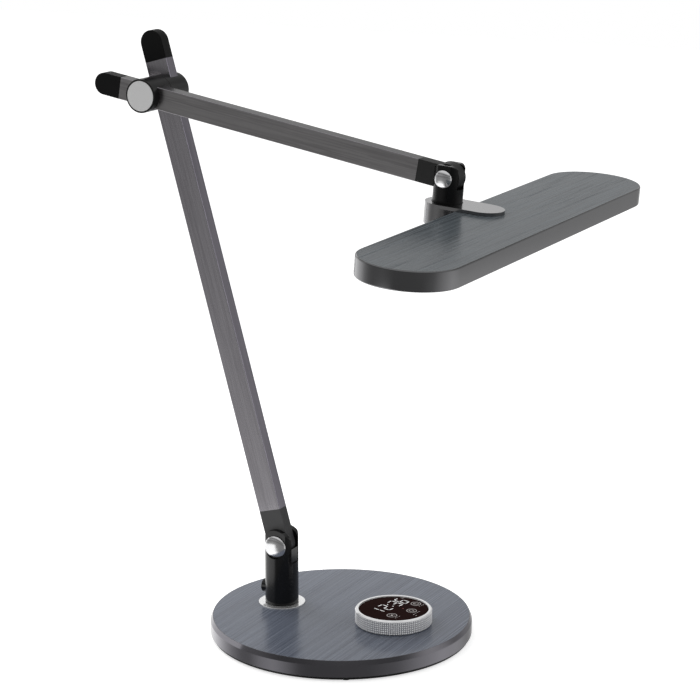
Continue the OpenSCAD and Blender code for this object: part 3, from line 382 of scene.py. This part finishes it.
def domeShape(radius, height, rim):  # a low button on Z = 0, crown up
    shape = bmesh.new()
    bmesh.ops.create_uvsphere(shape, u_segments=72, v_segments=36, radius=radius)
    bmesh.ops.scale(shape, verts=shape.verts, vec=(1, 1, (height - rim) / radius))
    cutPast(shape, 0, -1)
    skirt = bmesh.ops.extrude_edge_only(shape, edges=[e for e in shape.edges if e.is_boundary])["geom"]
    shiftVerts(shape, only(bmesh.types.BMVert, skirt), z=-rim)
    bmesh.ops.holes_fill(shape, edges=[e for e in shape.edges if e.is_boundary])
    shiftVerts(shape, shape.verts, z=rim)
    return shape


baseLook = {"shellEdge": 0.35, "insertEdge": 0.12, "plateEdge": 0.4, "collarEdge": 0.22, "feetEdge": 0.3}  # mm
dressNode("base_shell", baseLook["shellEdge"], 15, 3)
dressNode("base_insert", baseLook["insertEdge"])
dressNode("bottom_plate", baseLook["plateEdge"])
dressNode("base_feet", baseLook["feetEdge"])
dressNode("collar_ring", baseLook["collarEdge"], finish=polished("collarPolish", (0.95, 0.95, 0.95), 0.1, 0.8))
print("base dressed")

# the dial's ring: sizes in millimetres
ringLook = {"columns": 112, "rows": 6, "groove": 0.24, "pyramid": 0.6, "dip": 0.05,
            "bevelHeight": 1.2, "bevelWidth": 1.1, "softEdge": 0.2, "lensGap": 0.4, "stepDepth": 1.8,
            "bandMargin": 0.1, "steps": 216, "lensEdge": 0.2}


def knurledRing(look):
    low, high = extents("knob_ring", dialPlace)
    lensLow, lensHigh = extents("display_lens", dialPlace)
    outer, top, foot = high.x, high.z, low.z
    bevelTop, bevelIn, soft = look["bevelHeight"] * mm, look["bevelWidth"] * mm, look["softEdge"] * mm
    root = outer - look["pyramid"] * mm
    innerTop, bore = lensHigh.x + look["lensGap"] * mm, extents("dial_core", dialPlace)[1].x
    shoulder = lensLow.z - look["stepDepth"] * mm
    bandLow, bandHigh = foot + soft, top - bevelTop - soft
    body = bmesh.new()
    corners = [(bore, foot), (root - soft, foot), (root, bandLow), (root, bandHigh), (outer - soft, bandHigh + soft),
               (outer - soft / 2, bandHigh + 2 * soft), (outer - bevelIn + soft, top - soft), (outer - bevelIn, top),
               (innerTop + soft, top), (innerTop, top - soft), (innerTop, shoulder), (bore, shoulder)]
    profile = [body.verts.new((r, 0, z)) for r, z in corners]
    rounds = [body.edges.new((a, b)) for a, b in zip(profile, profile[1:] + profile[:1])]
    bmesh.ops.spin(body, geom=profile + rounds, cent=(0, 0, 0), axis=(0, 0, 1), angle=2 * math.pi,
                   steps=look["steps"], use_merge=True)
    bmesh.ops.remove_doubles(body, verts=body.verts, dist=1e-6)
    band = []
    for face in body.faces:
        middle = face.calc_center_median()
        face.material_index = 1 if middle.z > bandHigh else 0
        if middle.xy.length > root - look["bandMargin"] * mm and bandLow < middle.z < bandHigh:
            band.append(face)
    bmesh.ops.delete(body, geom=band, context="FACES_ONLY")
    knurl = bmesh.new()  # the band between the two edges, one face for each knurl
    bmesh.ops.create_circle(knurl, segments=look["columns"], radius=root, matrix=Matrix.Translation((0, 0, bandLow)))
    rise = (bandHigh - bandLow) / look["rows"]
    ring = knurl.edges[:]
    for row in range(look["rows"]):
        grown = bmesh.ops.extrude_edge_only(knurl, edges=ring)["geom"]
        shiftVerts(knurl, only(bmesh.types.BMVert, grown), z=rise)
        ring = [e for e in only(bmesh.types.BMEdge, grown) if abs(e.verts[0].co.z - e.verts[1].co.z) < 1e-7]
    bmesh.ops.recalc_face_normals(knurl, faces=knurl.faces)
    if knurl.faces[0].normal.dot(knurl.faces[0].calc_center_median()) < 0:
        bmesh.ops.reverse_faces(knurl, faces=knurl.faces)
    bumps = bmesh.ops.inset_individual(knurl, faces=knurl.faces[:], thickness=look["groove"] * mm,
                                       use_even_offset=True)
    for face in bumps["faces"]:
        face.material_index = 2
    raised = [f for f in knurl.faces if f.material_index == 0]
    bmesh.ops.poke(knurl, faces=raised, offset=(look["pyramid"] - look["dip"]) * mm)
    joinShape(body, knurl)
    bevelFinish = polished("bevelPolish", (0.94, 0.94, 0.95), 0.2, 0.45)
    # the grooves between the knurls in a darker silver: painted shade
    grooveShadeFinish = shellMetal("knurlGrooveShade", (0.6, 0.6, 0.61), 0.4)
    return makePiece("knurled_ring", body, "knob_ring", [finishes["knob_silver"], bevelFinish, grooveShadeFinish],
                     dialPlace, sharp=25)


knurledRing(ringLook)
dressNode("display_lens", ringLook["lensEdge"])

# the display: millimetres right and down from the clock's centre; the icons, level dots and
# status light are given along the lamp's X and Y from the dial's centre
displayLook = {
    "rowTurn": 14.5, "rowCentre": (-6.4, 6.1), "lift": 0.03, "thick": 0.04,
    "digits": (("1", -16.7), ("2", -5.9), ("3", 5.9), ("6", 14.2)), "digitHeight": 12.6, "digitWidth": 5.6,
    "stroke": 0.75, "strokeGap": 0.9, "digitDrop": 0.4, "colonRows": (-2.7, 3.4), "colonSize": 0.55,
    "icons": ((5.4, -13.9, "sun"), (15.1, 3.3, "lamp"), (11.1, 19.4, "clock")), "iconSize": 4.3, "iconLine": 0.42,
    "sunSize": 1.0, "rays": 8, "rayReach": 2.3, "raySize": 0.28,
    "bulbSize": 2.0, "bulbLine": 0.4, "bulbLift": 0.4, "socketLength": 1.8, "socketDrop": 2.4,
    "faceSize": 2.3, "faceLine": 0.35, "handLength": 2.2, "handLift": 1.4, "markLine": 0.5,
    "labelBars": (1.6, 1.0, 1.9), "labelLine": 0.45, "labelStart": -2.4, "labelStep": 2.3, "labelDrop": 6.2,
    "levelDots": ((20.6, -3.9), (23.4, -5.1)), "levelDotSize": 0.5,
    "levelBars": (2.0, 1.3), "levelBarLine": 0.6, "levelBarSpot": (19.6, -3.5), "levelBarStep": 1.5,
    "statusSpot": (6.5, 4.4), "statusSize": 0.6,
}


def displayMarks(look):
    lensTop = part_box("display_lens")[1].z + look["lift"] * mm
    turn = math.radians(look["rowTurn"])
    right = Vector((math.sin(turn), math.cos(turn), 0))
    down = Vector((math.cos(turn), -math.sin(turn), 0))
    centre = Vector((*look["rowCentre"], 0))
    toRow = Matrix((right, down, (0, 0, 1)))

    def rowSpot(x, y):  # from the lamp's X and Y at the dial to right and down from the clock's centre
        spot = toRow @ (Vector((x, y, 0)) - centre)
        return spot.x, spot.y

    def lay(part, spot):  # puts a part drawn in millimetres, right and down, on the lens
        place = Matrix.Translation(Vector((dialSpot[0], dialSpot[1], lensTop))
                                   + (centre + right * spot[0] + down * spot[1]) * mm)
        axes = Matrix((right, -down, (0, 0, 1))).transposed().to_4x4()
        part.transform(place @ axes @ Matrix.Scale(mm, 4))
        joinShape(shape, part)

    def plate(part):
        grown = bmesh.ops.extrude_face_region(part, geom=part.faces[:])["geom"]
        shiftVerts(part, only(bmesh.types.BMVert, grown), z=look["thick"])
        return part

    def bar(length, width, upright=False):  # a stroke with pointed ends
        part = bmesh.new()
        bmesh.ops.create_circle(part, cap_ends=True, segments=6, radius=width / 2)
        for way in (-1, 1):
            shiftVerts(part, [v for v in part.verts if v.co.x * way > 0], x=way * (length - width) / 2)
        if upright:
            bmesh.ops.rotate(part, verts=part.verts, cent=(0, 0, 0), matrix=Matrix.Rotation(math.pi / 2, 3, "Z"))
        return plate(part)

    def dot(size):
        part = bmesh.new()
        bmesh.ops.create_circle(part, cap_ends=True, segments=20, radius=size)
        return plate(part)

    def hoop(size, line, segments=40):
        part = bmesh.new()
        bmesh.ops.create_circle(part, segments=segments, radius=size)
        bmesh.ops.create_circle(part, segments=segments, radius=size - line)
        bmesh.ops.bridge_loops(part, edges=part.edges)
        return plate(part)

    shape = bmesh.new()
    lit = {"1": "bc", "2": "abged", "3": "abgcd", "6": "afgedc"}
    w, h = look["digitWidth"] / 2, look["digitHeight"] / 2
    strokes = {"a": (0, -h, False), "g": (0, 0, False), "d": (0, h, False), "f": (-w, -h / 2, True),
               "b": (w, -h / 2, True), "e": (-w, h / 2, True), "c": (w, h / 2, True)}
    for digit, x in look["digits"]:
        for name in lit[digit]:
            sx, sy, upright = strokes[name]
            length = (h if upright else 2 * w) - look["strokeGap"]
            lay(bar(length, look["stroke"], upright), (x + sx, sy + look["digitDrop"]))
    for y in look["colonRows"]:
        lay(dot(look["colonSize"]), (0, y))
    makePiece("clock_digits", shape, "display_lens", [glow("digitGlow", (0.9, 0.9, 0.9), 0.55)], replace=False)

    shape = bmesh.new()
    for x, y, kind in look["icons"]:  # a ring each, with a small mark in it and a short label under it
        ux, uy = rowSpot(x, y)
        lay(hoop(look["iconSize"], look["iconLine"]), (ux, uy))
        if kind == "sun":
            lay(dot(look["sunSize"]), (ux, uy))
            for i in range(look["rays"]):
                a, reach = i * 2 * math.pi / look["rays"], look["rayReach"]
                lay(dot(look["raySize"]), (ux + reach * math.cos(a), uy + reach * math.sin(a)))
        elif kind == "lamp":
            lay(hoop(look["bulbSize"], look["bulbLine"], 24), (ux, uy - look["bulbLift"]))
            lay(bar(look["socketLength"], look["markLine"]), (ux, uy + look["socketDrop"]))
        else:
            lay(hoop(look["faceSize"], look["faceLine"], 24), (ux, uy))
            lay(bar(look["handLength"], look["markLine"], True), (ux, uy - look["handLift"]))
        for i, long in enumerate(look["labelBars"]):
            spot = (ux + look["labelStart"] + i * look["labelStep"], uy + look["labelDrop"])
            lay(bar(long, look["labelLine"]), spot)
    for x, y in look["levelDots"]:
        lay(dot(look["levelDotSize"]), rowSpot(x, y))
    for i, long in enumerate(look["levelBars"]):
        spot = (look["levelBarSpot"][0] + i * look["levelBarStep"], look["levelBarSpot"][1])
        lay(bar(long, look["levelBarLine"], True), spot)
    makePiece("touch_icons", shape, "display_lens", [glow("iconGlow", (0.5, 0.47, 0.46), 0.22)], replace=False)

    shape = bmesh.new()
    lay(dot(look["statusSize"]), rowSpot(*look["statusSpot"]))
    makePiece("status_light", shape, "display_lens", [glow("statusRed", (0.2, 0.012, 0.01), 0.1)], replace=False)


displayMarks(displayLook)
print("dial made:", ringLook["columns"] * ringLook["rows"], "knurls")

postLook = {"edge": 0.45, "coverEdge": 0.2, "inletEdge": 0.4, "capRim": 0.5}  # millimetres
dressNode("post", postLook["edge"], 20, 3)
dressNode("cable_cover", postLook["coverEdge"])
dressNode("dc_inlet", postLook["inletEdge"])


def capPair(node, place, name, rim):  # a dome on each side of a pivot
    high = extents(node, place)[1]
    shape = bmesh.new()
    toLocal = place.inverted()
    inner = min(abs((toLocal @ v.co).y) for v in cadNodes[node].data.vertices)
    for way in (-1, 1):
        cap = domeShape(high.x, abs(high.y) - inner, rim * mm)
        cap.transform(Matrix.Translation((0, way * inner, 0)) @ Matrix.Rotation(-way * math.pi / 2, 4, "X"))
        joinShape(shape, cap)
    return makePiece(name, shape, node, [finishes[slotOf[node]]], place, sharp=50)


capPair("post_caps", footPlace, "post_domes", postLook["capRim"])
print("post dressed")

armLook = {"corner": 0.5, "seam": 0.05, "flat": 0.96, "tipEdge": 0.5}  # millimetres; flat is a normal's share


def armPiece(node, place, name, roundLow=False, roundHigh=False, low=None, high=None):
    bottom, top = extents(node, place)
    start = bottom.z if low is None else low
    end = top.z if high is None else high
    shape = barShape(top.x - bottom.x, top.y - bottom.y, start, end, armLook["corner"] * mm, roundLow, roundHigh)
    shift = Matrix.Translation(((top.x + bottom.x) / 2, (top.y + bottom.y) / 2, 0))
    shape.normal_update()
    limit = armLook["flat"]
    for face in shape.faces:  # 0 for the broad faces and the ends, 1 for the narrow sides, in a darker copy as painted shade, 2 for the corners, in a lighter copy as a painted highlight
        normal = face.normal
        broad = abs(normal.y) > limit or abs(normal.z) > limit
        face.material_index = 0 if broad else (1 if math.hypot(normal.x, normal.z) > limit else 2)
    flat = finishes[slotOf[node]]
    # the narrow sides take a darker copy of the finish: painted shade
    side = shadedNarrowSides.get(slotOf[node], flat)
    # the corners take a lighter copy of the finish: painted highlight
    return makePiece(name, shape, node, [flat, side, cornerHighlights.get(slotOf[node], flat)], place @ shift, sharp=10)


lowerLow, lowerHigh = extents("lower_tube", lowerPlace)
upperLow = extents("upper_tube", upperPlace)[0]
seam = armLook["seam"] * mm
armPiece("lower_adaptor", lowerPlace, "lower_foot_fitting", roundLow=True, high=lowerLow.z - seam)
armPiece("lower_tube", lowerPlace, "lower_arm_bar")
armPiece("lower_cap", lowerPlace, "lower_arm_cap", roundHigh=True, low=lowerHigh.z + seam)
armPiece("upper_tube", upperPlace, "upper_arm_bar")
armPiece("upper_cap", upperPlace, "upper_arm_cap", roundLow=True, high=upperLow.z - seam)
dressNode("tip_adaptor", armLook["tipEdge"], 25, 3, "upper_tip_fitting",
          mouldedPlastic("tipBlack", (0.017, 0.017, 0.017), 0.5, 0.3))
print("arms made")

elbowLook = {"housingEdge": 0.05, "coverEdge": 0.2, "discEdge": 0.15}  # millimetres
dressNode("rear_housing", elbowLook["housingEdge"])
dressNode("front_housing", elbowLook["housingEdge"])
dressNode("rear_cover", elbowLook["coverEdge"])
dressNode("elbow_disc", elbowLook["discEdge"])
print("elbow dressed")

yokeLook = {"edge": 0.5, "capRim": 0.5, "bracketEdge": 0.8, "coverEdge": 0.2}  # millimetres
dressNode("head_yoke", yokeLook["edge"], 20, 3,
          finish=mouldedPlastic("yokeBlack", (0.002, 0.002, 0.0021), 0.25, 0.35, 0.6, 0.002))
capPair("head_caps", headPlace, "head_domes", yokeLook["capRim"])
dressNode("head_bracket", yokeLook["bracketEdge"], 25, 4)
dressNode("drum_cover", yokeLook["coverEdge"])
print("yoke and bracket dressed")

panelLook = {"skinEdge": 0.12, "bezelEdge": 0.2, "diffuserEdge": 0.15}  # millimetres
dressNode("head_skin", panelLook["skinEdge"],
          finish=brushedTop("panelTop", headPlace, (0.062, 0.073, 0.082), (0.118, 0.136, 0.149), 0.08))
dressNode("head_shell", 0, 42)  # shaded smooth, with no softened edge
dressNode("head_bezel", panelLook["bezelEdge"])
dressNode("diffuser", panelLook["diffuserEdge"])
print("panel dressed")

studio = {
    "front": (0.465, -0.885, 0), "right": (0.885, 0.465, 0), "plainLevel": 0.72,
    "floorSize": 8.0, "floorLift": 0.6, "floorTone": 0.85,
    "keyPower": 2.2, "keyWay": -140, "keyHeight": 40, "keyDistance": 0.75, "keySize": 0.5, "keyAim": (0, 0, 0.02),
    "cardWay": -84, "cardSpan": (0.002, 0.058), "cardDistance": 0.1, "cardWidth": 0.14, "cardLevel": 1.2,
    "cameraSpot": (0.8556, -1.6129, 0.7103), "cameraTarget": (0.00822, 0, 0.2464), "lens": 118.41, "sensor": 36,
}
# what gloss and metal see round the lamp, from behind left over the front to behind right: just
# below level, lower down and towards the desk. byHeight darkens or brightens it from level upwards.
surroundings = {
    "belowLevel": [
        (0.0, 1.05), (0.067, 1.28), (0.1, 1.45), (0.134, 1.32), (0.167, 1.1), (0.201, 0.58), (0.235, 0.34),
        (0.268, 0.26), (0.336, 0.28), (0.403, 0.2), (0.504, 0.2), (0.606, 0.25), (0.64, 0.32), (0.707, 0.7),
        (0.755, 0.86), (0.8, 0.76), (0.85, 0.55), (0.9, 0.42), (0.94, 0.6), (1.0, 1.0)],
    "lowerDown": [
        (0.0, 1.1), (0.09, 1.45), (0.124, 1.35), (0.157, 1.0), (0.191, 0.62), (0.225, 0.34), (0.259, 0.32),
        (0.293, 0.68), (0.328, 0.82), (0.362, 0.54), (0.396, 0.2), (0.43, 0.19), (0.568, 0.21), (0.637, 0.34),
        (0.705, 0.74), (0.774, 1.04), (0.841, 0.84), (0.9, 0.42), (0.942, 0.42), (1.0, 1.0)],
    "towardsDesk": [
        (0.0, 1.1), (0.15, 0.9), (0.25, 1.5), (0.35, 1.5), (0.385, 0.5), (0.42, 0.12), (0.6, 0.14), (0.7, 0.4),
        (0.8, 0.9), (1.0, 1.1)],
    "byHeight": [
        (0.0, 1.0), (0.06, 0.75), (0.13, 0.42), (0.185, 0.85), (0.25, 0.95), (0.295, 1.3), (0.33, 1.15),
        (0.35, 0.95), (0.375, 0.35), (0.46, 0.3), (1.0, 0.5)],
    "lowerDownBand": (-0.235, -0.32), "deskBand": (-0.42, -0.55), "overheadBand": (0.35, 0.8), "overhead": 0.66,
}


def grey(level):
    return (level, level, level, 1)


def buildWorld(look, around):
    world = bpy.data.worlds.new("studioWorld")
    bpy.context.scene.world = world
    w = Shading(world)
    way = w.node("TexCoord", output="Generated")
    toFront = w.node("VectorMath", {"operation": "DOT_PRODUCT"}, {0: way, 1: look["front"]}, "Value")
    toRight = w.node("VectorMath", {"operation": "DOT_PRODUCT"}, {0: way, 1: look["right"]}, "Value")
    turn = toRight.maths("ARCTAN2", toRight, toFront) / (2 * math.pi) + 0.5
    level, low, desk = (w.node("ValToRGB", {"stops": around[name]}, {"Fac": turn})
                        for name in ("belowLevel", "lowerDown", "towardsDesk"))
    height = w.node("SeparateXYZ", None, {0: way}, 2)
    sides = w.blend(w.spread(height, *around["lowerDownBand"]), level, low)
    sides = w.blend(w.spread(height, *around["deskBand"]), sides, desk)
    sides = w.blend(1.0, sides, w.node("ValToRGB", {"stops": around["byHeight"]}, {"Fac": height}), "MULTIPLY")
    gloss = w.blend(w.spread(height, *around["overheadBand"]), sides, grey(around["overhead"]))
    plain = w.blend(w.node("LightPath", output="Is Glossy Ray"), grey(look["plainLevel"]), gloss)
    path = w.node("LightPath", output="Is Camera Ray")
    seen = path.maths("MAXIMUM", path, w.node("LightPath", output="Is Transmission Ray"))
    shown = w.blend(seen, plain, grey(1))
    w.node("OutputWorld", None, {"Surface": w.node("Background", None, {"Color": shown, "Strength": 1.0})})


def buildFloor(look):
    shape = bmesh.new()
    bmesh.ops.create_grid(shape, x_segments=1, y_segments=1, size=look["floorSize"] / 2)
    floor = addObject("floor", meshOf("floor", shape))
    f = newFinish("floorWhite")
    matt = f.node("BsdfDiffuse", None, {"Color": grey(look["floorTone"])})
    lift = f.node("Emission", None, {"Color": grey(1), "Strength": look["floorLift"]})
    lifted = f.node("AddShader", None, {0: matt, 1: lift})
    direct = f.node("MixShader", None, {0: f.node("LightPath", output="Is Camera Ray"), 1: matt, 2: lifted})
    seeThrough = f.node("MixShader", None, {
        0: f.node("LightPath", output="Is Glossy Ray"), 1: direct, 2: f.node("BsdfTransparent")})
    f.node("OutputMaterial", None, {"Surface": seeThrough})
    floor.data.materials.append(f.owner)


def wayRound(look, degrees):  # level direction, turned from the front towards the right
    turn = math.radians(degrees)
    return Vector(look["front"]) * math.cos(turn) + Vector(look["right"]) * math.sin(turn)


def addKey(look):
    rise = math.radians(look["keyHeight"])
    way = wayRound(look, look["keyWay"]) * math.cos(rise) + Vector((0, 0, math.sin(rise)))
    lamp = bpy.data.lights.new("keySoftbox", "AREA")
    lamp.shape, lamp.size, lamp.energy = "DISK", look["keySize"], look["keyPower"]
    softbox = addObject("keySoftbox", lamp)
    softbox.location = Vector(look["keyAim"]) + way * look["keyDistance"]
    softbox.visible_camera = softbox.visible_glossy = False
    softbox.rotation_euler = (-way).to_track_quat("-Z", "Y").to_euler()


def addCard(look):  # a low bright card left of the post, seen only in reflections
    way = wayRound(look, look["cardWay"])
    middle = Vector((footPivot.x, extents("post_caps", Matrix())[0].y, 0)) + way * look["cardDistance"]
    along = Vector((-way.y, way.x, 0)) * look["cardWidth"] / 2
    low, high = look["cardSpan"]
    shape = bmesh.new()
    corners = [middle + side * along + Vector((0, 0, height))
               for side, height in ((-1, low), (1, low), (1, high), (-1, high))]
    shape.faces.new([shape.verts.new(c) for c in corners])
    card = addObject("lowCard", meshOf("lowCard", shape))
    card.visible_camera = card.visible_diffuse = card.visible_shadow = False
    f = newFinish("cardWhite")
    lit = f.node("Emission", None, {"Color": grey(1), "Strength": look["cardLevel"]})
    f.node("OutputMaterial", None, {"Surface": lit})
    card.data.materials.append(f.owner)


def addCamera(look):
    data = bpy.data.cameras.new("camera")
    data.lens, data.sensor_width = look["lens"], look["sensor"]
    camera = addObject("camera", data)
    camera.location = look["cameraSpot"]
    camera.rotation_euler = (Vector(look["cameraTarget"]) - camera.location).to_track_quat("-Z", "Y").to_euler()
    bpy.context.scene.camera = camera


buildWorld(studio, surroundings)
buildFloor(studio)
addKey(studio)
addCard(studio)
addCamera(studio)
bpy.context.scene.view_settings.view_transform = "Standard"
print("studio set")
